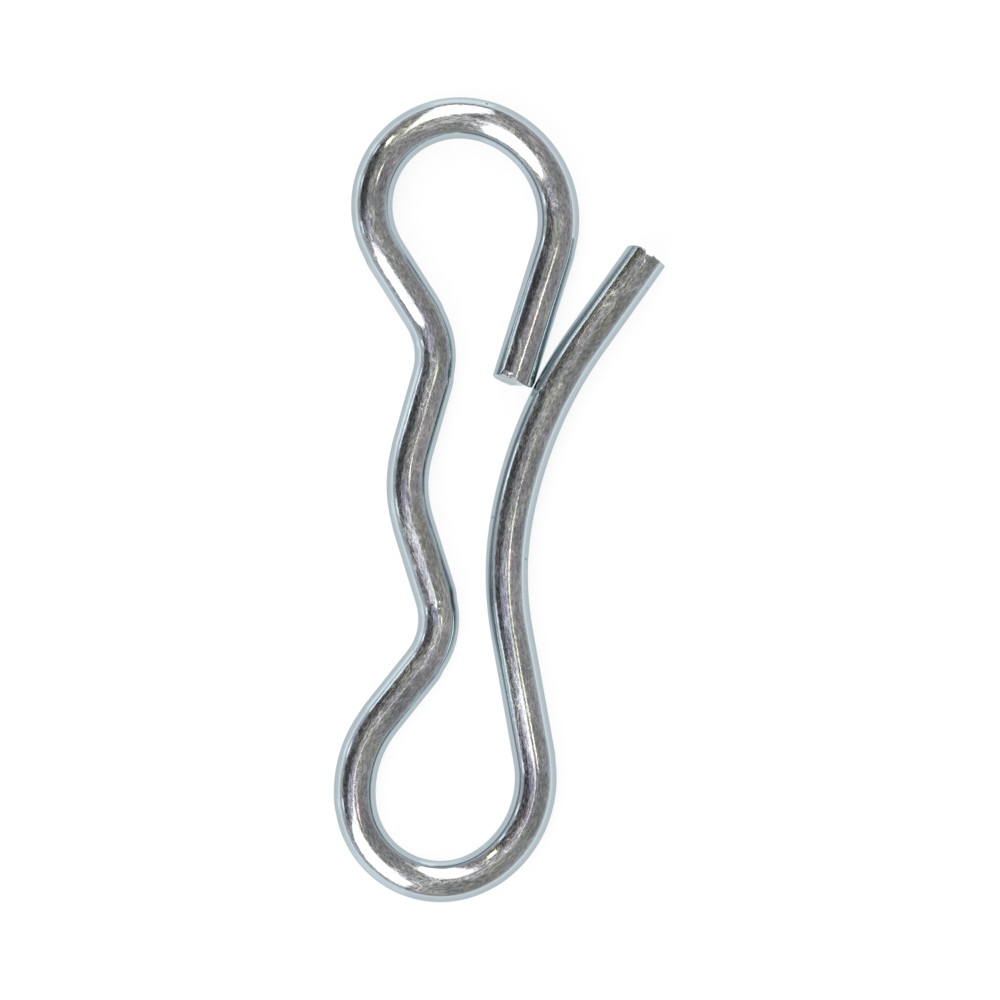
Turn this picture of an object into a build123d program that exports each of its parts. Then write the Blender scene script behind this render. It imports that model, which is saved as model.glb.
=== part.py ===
from build123d import *

import os
from dataclasses import dataclass
from math import asin, atan2, degrees, hypot, radians, sqrt, tan

# A bow tie cotter pin: one length of round spring wire, bent flat. The long leg passes through
# the cross hole of a shaft while the saddle lies round the shaft's outside. Beyond each side of
# the saddle the wire closes into a bow: the lower bow carries on into the leg, and the upper
# one comes back as a short tail, whose end bears on the leg.
#
# Millimetres. The shaft's axis is Z, through the origin, and the wire's centreline lies in the
# XY plane. +Y points to the bow that the tail closes, and the saddle is on the -X side.
# Headings are degrees from +X, measured along the wire from the tail's end to the leg's tip.

# Wire and shaft
wire_diameter = 3.05
shaft_diameter = 12.7

# Saddle, and the shoulders on both sides of it, with the straight runs beside each
seat_clearance = 0.05         # between the shaft and the saddle
saddle_relief = 1.1           # how much wider than the shaft the saddle is bent, in radius
upper_shoulder_radius = 3.8   # inside radius, as are those of the bows
upper_shoulder_bow_run = 5.25
upper_shoulder_saddle_run = 5.4
lower_shoulder_radius = 3.6
lower_shoulder_saddle_run = 5.55
lower_shoulder_bow_run = 5.0

# Leg: two long bends to the right, the first up to the shaft and the second through it
leg_low_radius = 23.0         # of the centreline
leg_high_radius = 31.0
leg_heading = 75.5            # where the leg crosses the shaft's axis
leg_change_heading = 80.0     # where the second bend takes over from the first
tip_heading = 54.5
tip_length = 7.6              # the straight end of the leg

# Tail, and the bow that it closes
nip_height = 0.95             # the tail's bearing on the leg, up from the shaft's +Y side
nip_gap = 0.02                # left between tail and leg
tail_heading = 72.5
tail_length = 9.6
upper_bow_radius = 5.8        # where the tail runs into it
upper_bow_tight_radius = 4.75
upper_bow_change_heading = 164.0

# Lower bow: it tightens and then opens again
lower_bow_radius = 6.8
lower_bow_tight_radius = 4.55
lower_bow_open_radius = 6.1
lower_bow_tighten_heading = -83.0
lower_bow_open_heading = 32.0
lower_bow_across = -3.35      # its first centre, from the shaft's axis
lower_bow_down = 15.45        # and down from the shaft's -Y side

# Sheared ends
end_stub = 1.5                # length of tail that is made with its cut
tail_shear_tilt = 10.0        # degrees off square, so that the cut face looks up
tail_shear_lean = 2.5         # degrees off square in plan
tail_corner_length = 0.35     # the corner rolled over beyond the nip
tail_corner_lean = 22.0
tip_roll_width = 1.0          # the tip's corner that the shear rolled over, on the left
tip_roll_depth = 0.5
tip_break_width = 0.2         # and its right corner, where the shear broke through
tip_break_depth = 0.25
tip_notch_width = 0.8         # the nick that the break left across the tip's face
tip_notch_floor = 0.2
tip_notch_depth = 0.25

wire_radius = wire_diameter / 2
shaft_radius = shaft_diameter / 2


def along(heading):
    """A unit step in the direction of travel."""
    return Vector(1, 0).rotate(Axis.Z, heading)


def left_of(heading):
    """A unit step to the left of the direction of travel."""
    return Vector(0, 1).rotate(Axis.Z, heading)


@dataclass
class Bend:
    """One arc of the wire's centreline, which turns left (+1) or right (-1) about its centre."""

    centre: Vector
    radius: float
    turn: int

    def at(self, heading):
        """The point of the arc where the wire runs at this heading."""
        return self.centre - left_of(heading) * (self.turn * self.radius)

    def eased(self, heading, radius):
        """The bend of another radius that meets this one at this heading, tangent to it."""
        shift = self.turn * (radius - self.radius)
        return Bend(self.centre + left_of(heading) * shift, radius, self.turn)

    def heading_to(self, other):
        """The heading of the straight run that leaves this bend and enters the other."""
        across = other.centre - self.centre
        offset = other.turn * other.radius - self.turn * self.radius
        return degrees(atan2(across.Y, across.X) - asin(offset / across.length))

    def swept(self, start, finish):
        """The angle turned from one heading to another, positive to the left."""
        return self.turn * ((finish - start) * self.turn % 360)


def shoulder_between(first, second, radius, first_run, second_run):
    """The bend to the right that lies a straight run away from each of two bends to the left."""
    centreline_radius = radius + wire_radius
    first_reach = hypot(first.radius + centreline_radius, first_run)
    second_reach = hypot(second.radius + centreline_radius, second_run)
    across = second.centre - first.centre
    forward = (across.length**2 + first_reach**2 - second_reach**2) / (2 * across.length)
    aside = sqrt(first_reach**2 - forward**2)
    ahead = across.normalized()
    centre = first.centre + ahead * forward + ahead.rotate(Axis.Z, -90) * aside
    return Bend(centre, centreline_radius, -1)


# The leg crosses the shaft's axis at its heading, which places its second bend.
leg_high = Bend(left_of(leg_heading) * -leg_high_radius, leg_high_radius, -1)
leg_low = leg_high.eased(leg_change_heading, leg_low_radius)

# The nip is where the tail's side comes nip_gap from the leg's side, at nip_height.
nip_y = shaft_radius + nip_height
nip_reach = leg_high_radius + wire_radius + nip_gap
nip_x = leg_high.centre.X - sqrt(nip_reach**2 - (nip_y - leg_high.centre.Y) ** 2)
nip = Vector(nip_x, nip_y)
tail_end = nip + left_of(tail_heading) * wire_radius - along(tail_heading) * tail_corner_length

# The tail runs straight into the upper bow.
upper_bow_centreline = upper_bow_radius + wire_radius
upper_bow_start = tail_end + along(tail_heading) * tail_length
upper_bow = Bend(
    upper_bow_start + left_of(tail_heading) * upper_bow_centreline, upper_bow_centreline, +1
)
upper_bow_tight = upper_bow.eased(upper_bow_change_heading, upper_bow_tight_radius + wire_radius)

# The saddle lies seat_clearance from the shaft's -X side.
saddle_radius = shaft_radius + saddle_relief + wire_radius
saddle_bottom_x = -(shaft_radius + seat_clearance + wire_radius)
saddle = Bend(Vector(saddle_bottom_x + saddle_radius, 0), saddle_radius, +1)
lower_bow = Bend(
    Vector(lower_bow_across, -shaft_radius - lower_bow_down), lower_bow_radius + wire_radius, +1
)
lower_bow_tight = lower_bow.eased(lower_bow_tighten_heading, lower_bow_tight_radius + wire_radius)
lower_bow_open = lower_bow_tight.eased(lower_bow_open_heading, lower_bow_open_radius + wire_radius)

# Each shoulder stands a straight run off the saddle and off its bow.
upper_shoulder = shoulder_between(
    upper_bow_tight,
    saddle,
    upper_shoulder_radius,
    upper_shoulder_bow_run,
    upper_shoulder_saddle_run,
)
lower_shoulder = shoulder_between(
    saddle, lower_bow, lower_shoulder_radius, lower_shoulder_saddle_run, lower_shoulder_bow_run
)

# The bends from tail to tip, each with the heading at which it ends.
course = [
    (upper_bow, upper_bow_change_heading),
    (upper_bow_tight, upper_bow_tight.heading_to(upper_shoulder)),
    (upper_shoulder, upper_shoulder.heading_to(saddle)),
    (saddle, saddle.heading_to(lower_shoulder)),
    (lower_shoulder, lower_shoulder.heading_to(lower_bow)),
    (lower_bow, lower_bow_tighten_heading),
    (lower_bow_tight, lower_bow_open_heading),
    (lower_bow_open, lower_bow_open.heading_to(leg_low)),
    (leg_low, leg_change_heading),
    (leg_high, tip_heading),
]

# Bends that hand over to each other meet with no straight run between them.
shortest_run = 0.001
stub_root = tail_end + along(tail_heading) * end_stub

with BuildLine() as centreline:
    reached = stub_root
    heading = tail_heading
    for bend, finish in course:
        entry = bend.at(heading)
        if (entry - reached).length > shortest_run:
            Line(reached, entry)
        arc = JernArc(entry, along(heading), bend.radius, bend.swept(heading, finish))
        reached = arc @ 1
        heading = finish
    tip_end = reached + along(tip_heading) * tip_length
    Line(reached, tip_end)

# The tail's last stretch, with its cut. The shear came down at a slight angle, so the cut face
# is tilted to look up, and the corner beyond the nip is rolled over, clear of the leg.
shear_across = -left_of(tail_heading + tail_shear_lean)
shear_face = Plane(
    origin=tail_end,
    x_dir=shear_across,
    z_dir=-along(tail_heading + tail_shear_lean).rotate(Axis(tail_end, shear_across), -tail_shear_tilt),
)
rolled_corner = Plane(
    origin=nip, x_dir=Vector(0, 0, 1), z_dir=-left_of(tail_heading - tail_corner_lean)
)
stub_overrun = wire_diameter * tan(radians(tail_shear_tilt))

with BuildPart() as tail_stub:
    with BuildSketch(Plane(origin=stub_root, z_dir=-along(tail_heading))):
        Circle(wire_radius)
    extrude(amount=end_stub + stub_overrun)
    split(bisect_by=shear_face, keep=Keep.BOTTOM)
    split(bisect_by=rolled_corner, keep=Keep.BOTTOM)

with BuildPart() as wire_pin:
    with BuildSketch(Plane(origin=centreline.line @ 0, z_dir=centreline.line % 0)):
        Circle(wire_radius)
    sweep(path=centreline.line)
    add(tail_stub.part)

    # The tip's end in plan: x across the wire, y out along it.
    tip_corners = [(-1, tip_roll_width, tip_roll_depth), (1, tip_break_width, tip_break_depth)]
    with BuildSketch(Plane(origin=tip_end, x_dir=-left_of(tip_heading), z_dir=(0, 0, 1))):
        for side, width, depth in tip_corners:
            inner = side * (wire_radius - width)
            outer = side * wire_diameter
            with BuildLine():
                roll = TangentArc((inner, 0), (side * wire_radius, -depth), tangent=(side, 0))
                Polyline(roll @ 1, (outer, -depth), (outer, wire_radius), (inner, wire_radius), roll @ 0)
            make_face()
        with BuildLine():
            Polyline(
                (-tip_notch_width / 2, 0),
                (-tip_notch_floor / 2, -tip_notch_depth),
                (tip_notch_floor / 2, -tip_notch_depth),
                (tip_notch_width / 2, 0),
                close=True,
            )
        make_face()
    extrude(amount=wire_diameter, both=True, mode=Mode.SUBTRACT)

wire_pin.part.label = "wire_pin"
os.makedirs("parts", exist_ok=True)
export_step(wire_pin.part, "parts/wire_pin.step")
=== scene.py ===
"""A bow tie cotter pin: one bent length of bright zinc plated spring wire, on a pale floor.

The design sizes are in millimetres and degrees, and the meshes are in metres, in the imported
model's frame: the axis of the shaft that the pin locks is Z through the origin, the wire lies
flat in the XY plane, and +Y points to the bow that the tail closes. Plane geometry is done with
complex numbers, x + iy. A heading is in degrees from +X, along the wire from tail to tip.
"""

import cmath
import logging
import math
from dataclasses import dataclass, field
from enum import Enum

import bpy
import numpy as np
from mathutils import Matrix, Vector

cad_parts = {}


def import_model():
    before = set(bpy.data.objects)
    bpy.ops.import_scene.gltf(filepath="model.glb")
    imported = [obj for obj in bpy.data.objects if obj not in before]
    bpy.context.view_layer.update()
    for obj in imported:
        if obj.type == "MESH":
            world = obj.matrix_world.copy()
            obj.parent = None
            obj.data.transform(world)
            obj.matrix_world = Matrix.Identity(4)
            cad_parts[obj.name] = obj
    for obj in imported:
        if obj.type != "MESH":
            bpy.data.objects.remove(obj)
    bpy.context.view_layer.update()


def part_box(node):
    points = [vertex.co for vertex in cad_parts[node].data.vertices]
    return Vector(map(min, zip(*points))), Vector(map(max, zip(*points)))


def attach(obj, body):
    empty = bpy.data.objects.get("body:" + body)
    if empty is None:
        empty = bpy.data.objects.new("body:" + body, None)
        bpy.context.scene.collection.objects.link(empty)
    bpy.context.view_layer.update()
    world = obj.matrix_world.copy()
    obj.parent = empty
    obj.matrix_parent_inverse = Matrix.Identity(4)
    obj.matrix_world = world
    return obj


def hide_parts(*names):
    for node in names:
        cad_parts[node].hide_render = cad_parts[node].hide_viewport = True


MM = 0.001

log = logging.getLogger("cotter_pin")


class Turn(Enum):
    """Which way a bend turns, seen from above along the wire's course."""

    LEFT = 1
    RIGHT = -1


def along(heading: float) -> complex:
    """A unit step in the direction of travel."""
    return cmath.rect(1.0, math.radians(heading))


def left_of(heading: float) -> complex:
    """A unit step to the left of the direction of travel."""
    return 1j * along(heading)


def linear(hex_colour: str) -> tuple[float, float, float, float]:
    """Turns an sRGB colour into the linear one that shaders and lamps take.

    Args:
        hex_colour: The colour as six hex digits, such as "c8d2d7".

    Returns:
        Red, green and blue from 0 to 1, and an alpha of 1.
    """
    coded = [int(hex_colour[i : i + 2], 16) / 255 for i in (0, 2, 4)]
    red, green, blue = (c / 12.92 if c <= 0.04045 else ((c + 0.055) / 1.055) ** 2.4 for c in coded)
    return red, green, blue, 1.0


def add_object(name: str, data: bpy.types.ID) -> bpy.types.Object:
    """Puts a mesh, lamp or camera in the scene, as an object at the origin."""
    made = bpy.data.objects.new(name, data)
    bpy.context.scene.collection.objects.link(made)
    return made


def add_panel(name: str, corners: list[Vector], material: bpy.types.Material) -> bpy.types.Object:
    """Adds one flat face.

    Args:
        name: What the panel is.
        corners: Its corners in order, in metres.
        material: What it is made of.

    Returns:
        The panel.
    """
    mesh = bpy.data.meshes.new(name)
    mesh.from_pydata(corners, [], [tuple(range(len(corners)))])
    mesh.materials.append(material)
    return add_object(name, mesh)


def empty_tree(owner: bpy.types.Material | bpy.types.World) -> bpy.types.NodeTree:
    """Turns on the nodes of a material or a world and clears the ones that it came with."""
    owner.use_nodes = True
    owner.node_tree.nodes.clear()
    return owner.node_tree


def add_node(
    tree: bpy.types.NodeTree,
    kind: str,
    inputs: dict[str | int, object] | None = None,
    **settings: object,
) -> bpy.types.Node:
    """Adds a node to a tree.

    Args:
        tree: The tree that the node goes into.
        kind: The node's type, such as "ShaderNodeMath".
        inputs: For each input, by name or number, the socket that feeds it or its own value.
        **settings: The node's own properties.

    Returns:
        The new node.
    """
    node = tree.nodes.new(kind)
    for name, value in settings.items():
        setattr(node, name, value)
    for key, value in (inputs or {}).items():
        if isinstance(value, bpy.types.NodeSocket):
            tree.links.new(value, node.inputs[key])
        else:
            node.inputs[key].default_value = value
    return node


def smooth_lower(first: np.ndarray, second: np.ndarray, blend: float) -> np.ndarray:
    """The lower of two heights, with the crease between them rounded off.

    The plain minimum is half of the sum less half of the difference's size. The size is taken
    as the root of the difference squared plus the blend squared, which rounds its corner.

    Args:
        first: Heights of one surface.
        second: Heights of the other surface, at the same places.
        blend: About how far the rounding lies below the crease, doubled.

    Returns:
        The heights of the joined surface.
    """
    return (first + second - np.sqrt((first - second) ** 2 + blend**2)) / 2


def ridge(across: np.ndarray, centre: float, width: float) -> np.ndarray:
    """A bell-shaped ridge of height 1: e to the minus half of the squared distance in widths."""
    return np.exp(-0.5 * ((across - centre) / width) ** 2)


def step_up(across: np.ndarray, centre: float, width: float) -> np.ndarray:
    """A smooth step from 0 to 1: half, plus half of the hyperbolic tangent of the distance."""
    return 0.5 + 0.5 * np.tanh((across - centre) / width)


def towards(azimuth: float, from_zenith: float) -> Vector:
    """The unit step to a place in the room.

    Args:
        azimuth: Degrees from +X, towards +Y.
        from_zenith: Degrees down from straight above.

    Returns:
        The step.
    """
    around, down = math.radians(azimuth), math.radians(from_zenith)
    level = math.sin(down)
    return Vector((level * math.cos(around), level * math.sin(around), math.cos(down)))


@dataclass(frozen=True)
class Bend:
    """One arc of the wire's centreline.

    Attributes:
        centre: The arc's centre, in mm.
        radius: The centreline's radius, in mm.
        turn: Which way the wire turns.
    """

    centre: complex
    radius: float
    turn: Turn

    def at(self, heading: float) -> complex:
        """The point of the arc where the wire runs at this heading."""
        return self.centre - self.turn.value * self.radius * left_of(heading)

    def eased(self, heading: float, radius: float) -> "Bend":
        """The bend of another radius that meets this one at this heading, tangent to it."""
        shift = self.turn.value * (radius - self.radius)
        return Bend(self.centre + shift * left_of(heading), radius, self.turn)

    def heading_to(self, other: "Bend") -> float:
        """The heading of the straight run that leaves this bend and enters the other.

        It is the direction between the two centres, less the angle whose sine is the
        difference of the signed radii over the distance between the centres.

        Args:
            other: The bend that the run enters.

        Returns:
            The heading, in degrees.
        """
        across = other.centre - self.centre
        offset = other.turn.value * other.radius - self.turn.value * self.radius
        return math.degrees(cmath.phase(across) - math.asin(offset / abs(across)))

    def angle_between(self, start: float, finish: float) -> float:
        """The degrees turned from one heading to another, always positive."""
        return (finish - start) * self.turn.value % 360

    def shoulder_to(self, other: "Bend", radius: float, first_run: float, second_run: float) -> "Bend":
        """The bend to the right that lies a straight run away from this bend and from another.

        The shoulder's centre is one corner of a triangle on the line between the two centres.
        Its distance from each centre is the hypotenuse of the straight run and the two radii.

        Args:
            other: The bend after the shoulder. Both bends turn left.
            radius: The shoulder's centreline radius.
            first_run: The straight run from this bend to the shoulder.
            second_run: The straight run from the shoulder to the other bend.

        Returns:
            The shoulder.
        """
        first_reach = math.hypot(self.radius + radius, first_run)
        second_reach = math.hypot(other.radius + radius, second_run)
        across = other.centre - self.centre
        span = abs(across)
        forward = (span**2 + first_reach**2 - second_reach**2) / (2 * span)
        aside = math.sqrt(first_reach**2 - forward**2)
        centre = self.centre + across / span * (forward - 1j * aside)
        return Bend(centre, radius, Turn.RIGHT)


@dataclass(frozen=True)
class Centreline:
    """The middle of the wire, as points close together along its length.

    Attributes:
        distance: How far along the wire each point is, in mm.
        point: The points, in mm.
        heading: The direction of travel at each point, as a unit step.
        curvature: One over the radius, in 1/mm, positive where the wire turns left.
    """

    distance: np.ndarray
    point: np.ndarray
    heading: np.ndarray
    curvature: np.ndarray

    @property
    def length(self) -> float:
        """The wire's length, in mm."""
        return float(self.distance[-1])

    def sampled(self, distance: np.ndarray) -> "Centreline":
        """The same line at other places along it, found by straight interpolation.

        Args:
            distance: How far along the wire each place is, in mm.

        Returns:
            The line at those places.
        """
        heading = np.interp(distance, self.distance, self.heading)
        return Centreline(
            distance,
            np.interp(distance, self.distance, self.point),
            heading / np.abs(heading),
            np.interp(distance, self.distance, self.curvature),
        )


@dataclass(frozen=True)
class WireCourse:
    """The route of the wire, from the tail's end round both bows to the leg's tip.

    Bow and shoulder radii are of the inside of the bend, and leg radii of the centreline. The
    sizes are those that the pin is made to, in mm and degrees.

    Attributes:
        wire_diameter: The wire's diameter.
        shaft_diameter: The diameter of the shaft that the pin locks.
        seat_clearance: The gap between the shaft and the saddle.
        saddle_relief: How much wider than the shaft the saddle is bent, in radius.
        upper_shoulder_radius: The bend between the upper bow and the saddle.
        upper_shoulder_bow_run: The straight run from the upper bow to that bend.
        upper_shoulder_saddle_run: The straight run from it to the saddle.
        lower_shoulder_radius: The bend between the saddle and the lower bow.
        lower_shoulder_saddle_run: The straight run from the saddle to that bend.
        lower_shoulder_bow_run: The straight run from it to the lower bow.
        leg_low_radius: The leg's long bend up to the shaft.
        leg_high_radius: Its long bend through the shaft.
        leg_heading: Its heading where it crosses the shaft's axis.
        leg_change_heading: Its heading where the second bend takes over from the first.
        tip_heading: The heading of its straight end.
        tip_length: The length of that end.
        nip_height: How far up from the shaft's +Y side the tail bears on the leg.
        nip_gap: The gap left there.
        tail_heading: The tail's heading.
        tail_length: Its length.
        tail_corner_length: How far it runs on past the nip.
        upper_bow_radius: The upper bow where the tail runs into it.
        upper_bow_tight_radius: The tighter rest of it.
        upper_bow_change_heading: The heading where it tightens.
        lower_bow_radius: The lower bow where it starts.
        lower_bow_tight_radius: Its tighter middle.
        lower_bow_open_radius: Its last stretch, before the leg.
        lower_bow_tighten_heading: The heading where it tightens.
        lower_bow_open_heading: The heading where it opens again.
        lower_bow_across: Its first centre, to the right of the shaft's axis.
        lower_bow_down: How far that centre lies down from the shaft's -Y side.
        point_spacing: The spacing of the centreline's points.
        easing_length: The length over which each change of curvature is spread.
    """

    wire_diameter: float = 3.05
    shaft_diameter: float = 12.7
    seat_clearance: float = 0.05
    saddle_relief: float = 1.1
    upper_shoulder_radius: float = 3.8
    upper_shoulder_bow_run: float = 5.25
    upper_shoulder_saddle_run: float = 5.4
    lower_shoulder_radius: float = 3.6
    lower_shoulder_saddle_run: float = 5.55
    lower_shoulder_bow_run: float = 5.0
    leg_low_radius: float = 23.0
    leg_high_radius: float = 31.0
    leg_heading: float = 75.5
    leg_change_heading: float = 80.0
    tip_heading: float = 54.5
    tip_length: float = 7.6
    nip_height: float = 0.95
    nip_gap: float = 0.02
    tail_heading: float = 72.5
    tail_length: float = 9.6
    tail_corner_length: float = 0.35
    upper_bow_radius: float = 5.8
    upper_bow_tight_radius: float = 4.75
    upper_bow_change_heading: float = 164.0
    lower_bow_radius: float = 6.8
    lower_bow_tight_radius: float = 4.55
    lower_bow_open_radius: float = 6.1
    lower_bow_tighten_heading: float = -83.0
    lower_bow_open_heading: float = 32.0
    lower_bow_across: float = -3.35
    lower_bow_down: float = 15.45
    point_spacing: float = 0.02
    easing_length: float = 1.4

    @property
    def wire_radius(self) -> float:
        """Half of the wire's diameter."""
        return self.wire_diameter / 2

    @property
    def shaft_radius(self) -> float:
        """Half of the shaft's diameter."""
        return self.shaft_diameter / 2

    def leg_bends(self) -> tuple[Bend, Bend]:
        """The leg's two long bends. The leg crosses the shaft's axis at its own heading."""
        high = Bend(-self.leg_high_radius * left_of(self.leg_heading), self.leg_high_radius, Turn.RIGHT)
        return high.eased(self.leg_change_heading, self.leg_low_radius), high

    def tail_end(self) -> complex:
        """The middle of the tail's end.

        The nip is where the tail's side comes the nip's gap from the leg's side. It lies on a
        circle round the leg's high bend, at the nip's height over the shaft.

        Returns:
            The place, in mm.
        """
        _, high = self.leg_bends()
        nip_y = self.shaft_radius + self.nip_height
        reach = high.radius + self.wire_radius + self.nip_gap
        nip_x = high.centre.real - math.sqrt(reach**2 - (nip_y - high.centre.imag) ** 2)
        aside = self.wire_radius * left_of(self.tail_heading)
        return complex(nip_x, nip_y) + aside - self.tail_corner_length * along(self.tail_heading)

    def bends(self) -> list[tuple[Bend, float]]:
        """Places every bend of the wire.

        Returns:
            The bends from tail to tip, each with the heading at which it ends.
        """
        half = self.wire_radius
        leg_low, leg_high = self.leg_bends()
        bow_start = self.tail_end() + self.tail_length * along(self.tail_heading)
        upper_radius = self.upper_bow_radius + half
        upper = Bend(bow_start + upper_radius * left_of(self.tail_heading), upper_radius, Turn.LEFT)
        upper_tight = upper.eased(self.upper_bow_change_heading, self.upper_bow_tight_radius + half)

        saddle_radius = self.shaft_radius + self.saddle_relief + half
        saddle_bottom = -(self.shaft_radius + self.seat_clearance + half)
        saddle = Bend(complex(saddle_bottom + saddle_radius, 0), saddle_radius, Turn.LEFT)

        lower_centre = complex(self.lower_bow_across, -self.shaft_radius - self.lower_bow_down)
        lower = Bend(lower_centre, self.lower_bow_radius + half, Turn.LEFT)
        lower_tight = lower.eased(self.lower_bow_tighten_heading, self.lower_bow_tight_radius + half)
        lower_open = lower_tight.eased(self.lower_bow_open_heading, self.lower_bow_open_radius + half)

        upper_shoulder = upper_tight.shoulder_to(
            saddle,
            self.upper_shoulder_radius + half,
            self.upper_shoulder_bow_run,
            self.upper_shoulder_saddle_run,
        )
        lower_shoulder = saddle.shoulder_to(
            lower,
            self.lower_shoulder_radius + half,
            self.lower_shoulder_saddle_run,
            self.lower_shoulder_bow_run,
        )
        return [
            (upper, self.upper_bow_change_heading),
            (upper_tight, upper_tight.heading_to(upper_shoulder)),
            (upper_shoulder, upper_shoulder.heading_to(saddle)),
            (saddle, saddle.heading_to(lower_shoulder)),
            (lower_shoulder, lower_shoulder.heading_to(lower)),
            (lower, self.lower_bow_tighten_heading),
            (lower_tight, self.lower_bow_open_heading),
            (lower_open, lower_open.heading_to(leg_low)),
            (leg_low, self.leg_change_heading),
            (leg_high, self.tip_heading),
        ]

    def stretches(self) -> tuple[np.ndarray, np.ndarray]:
        """The course as straight runs and arcs in turn, from tail to tip.

        Returns:
            Each stretch's length, in mm, and its curvature, in 1/mm.
        """
        reached, heading = self.tail_end(), self.tail_heading
        stretches: list[tuple[float, float]] = []
        for bend, finish in self.bends():
            entry = bend.at(heading)
            angle = math.radians(bend.angle_between(heading, finish))
            stretches.append((abs(entry - reached), 0.0))
            stretches.append((bend.radius * angle, bend.turn.value / bend.radius))
            reached, heading = bend.at(finish), finish
        stretches.append((self.tip_length, 0.0))
        lengths, curvatures = np.array(stretches).T
        return lengths, curvatures

    def eased(self, point: np.ndarray, steps: np.ndarray) -> np.ndarray:
        """Rounds every change of curvature, because spring wire takes a bend gradually.

        Each point becomes the mean of its neighbours within half of the easing length, weighted
        by a raised cosine. The line is first carried on straight past both ends.

        Args:
            point: The line's points, evenly spaced.
            steps: The steps between them.

        Returns:
            The eased points.
        """
        reach = int(self.easing_length / 2 / abs(steps[0]))
        weights = 1 + np.cos(np.linspace(-np.pi, np.pi, 2 * reach + 1))
        beyond = np.arange(1, reach + 1)
        before = point[0] - steps[0] * beyond[::-1]
        after = point[-1] + steps[-1] * beyond
        return np.convolve(np.concatenate([before, point, after]), weights / weights.sum(), "valid")

    def centreline(self) -> Centreline:
        """Walks the course and returns it as points close together.

        The curvature is constant along each stretch. The heading is the sum of the curvature
        over the length, and a point is the sum of the steps before it, which is then eased.

        Returns:
            The centreline.
        """
        lengths, curvatures = self.stretches()
        ends = np.concatenate([[0], np.cumsum(lengths)])
        turned_at_ends = np.concatenate([[0], np.cumsum(lengths * curvatures)])
        count = int(round(ends[-1] / self.point_spacing))
        distance = np.linspace(0, ends[-1], count + 1)
        spacing = distance[1]
        turned = np.interp(distance[:-1] + spacing / 2, ends, turned_at_ends)
        steps = spacing * np.exp(1j * (math.radians(self.tail_heading) + turned))
        point = self.eased(self.tail_end() + np.concatenate([[0], np.cumsum(steps)]), steps)
        tangent = np.gradient(point, distance)
        tangent /= np.abs(tangent)
        curvature = np.gradient(np.unwrap(np.angle(tangent)), distance)
        return Centreline(distance, point, tangent, curvature)


@dataclass(frozen=True)
class Bump:
    """A small bell-shaped bump on a cut face, or a pit in it. Sizes are in mm.

    Attributes:
        height: Its height. Less than nothing makes it a pit.
        across: Its place to the left of the wire's middle.
        up: Its place above the wire's middle.
        wide: How far across it has fallen to six tenths.
        high: The same, up and down the face.
    """

    height: float
    across: float
    up: float
    wide: float
    high: float

    def height_at(self, across: np.ndarray, up: np.ndarray) -> np.ndarray:
        """Its height at each place: its own height times a bell both ways."""
        return self.height * ridge(across, self.across, self.wide) * ridge(up, self.up, self.high)


@dataclass(frozen=True)
class CutEnd:
    """A sheared end of the wire, square to it. Sizes are in mm.

    Attributes:
        wire_radius: Half of the wire's diameter.
        stub: The length of wire over which the lie of the cut is spread.
    """

    wire_radius: float
    stub: float = 1.5

    def face(self, across: np.ndarray, up: np.ndarray) -> np.ndarray:
        """How far out the cut face stands from the wire's nominal end.

        Args:
            across: Places to the left of the wire's middle.
            up: Places above the wire's middle.

        Returns:
            The distance out along the wire at each place.
        """
        return np.zeros_like(across + up)


@dataclass(frozen=True)
class TailCut(CutEnd):
    """The tail's end: the shear came down at an angle, so that the cut face looks up.

    Attributes:
        tilt: Degrees off square, looking up, on the face's left.
        tilt_half: Where the tilt is half gone, to the right of the middle.
        tilt_fade: Half of the width over which it goes.
        stand_out: How far the middle of the face stands out.
        corner_length: How far back the corner beside the leg is rolled over.
        corner_lean: Degrees from the wire's side to that corner's slope.
        corner_blend: The blend between the face and that slope.
        break_step: Half of the height of the step that the break left across the face.
        ripple: The height of the ripples that cross it.
        burr: The burr on the upper edge.
        pit: The pit beside the burr.
    """

    tilt: float = 10.5
    tilt_half: float = 0.45
    tilt_fade: float = 0.7
    stand_out: float = 0.13
    corner_length: float = 0.35
    corner_lean: float = 14.0
    corner_blend: float = 0.06
    break_step: float = 0.014
    ripple: float = 0.008
    burr: Bump = Bump(height=0.10, across=0.42, up=1.46, wide=0.12, high=0.16)
    pit: Bump = Bump(height=-0.09, across=0.70, up=1.35, wide=0.08, high=0.16)

    def face(self, across: np.ndarray, up: np.ndarray) -> np.ndarray:
        """A tilted plane, cut off on the leg's side by the corner's slope.

        The plane falls with height by the tilt's tangent, and turns square on the leg's side,
        where the shear broke through: the tilt fades there along half of a sine. The corner's
        slope rises from the leg's side by the cotangent of its lean, and the face is the lower
        of both. The break's step and ripples cross the face on a slant.

        Args:
            across: Places to the left of the wire's middle.
            up: Places above the wire's middle.

        Returns:
            The distance out along the wire at each place.
        """
        tilted = 0.5 + 0.5 * np.sin(np.clip((across + self.tilt_half) / self.tilt_fade, -1, 1) * np.pi / 2)
        plane = self.stand_out - up * math.tan(math.radians(self.tilt)) * tilted
        rise = (across + self.wire_radius) / math.tan(math.radians(self.corner_lean))
        face = smooth_lower(plane, rise - self.corner_length, self.corner_blend)
        step = self.break_step * np.tanh((up - 0.3 * across - 0.2) / 0.05)
        ripples = self.ripple * np.sin(9 * across + 4 * up)
        return face + step + ripples + self.burr.height_at(across, up) + self.pit.height_at(across, up)


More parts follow.
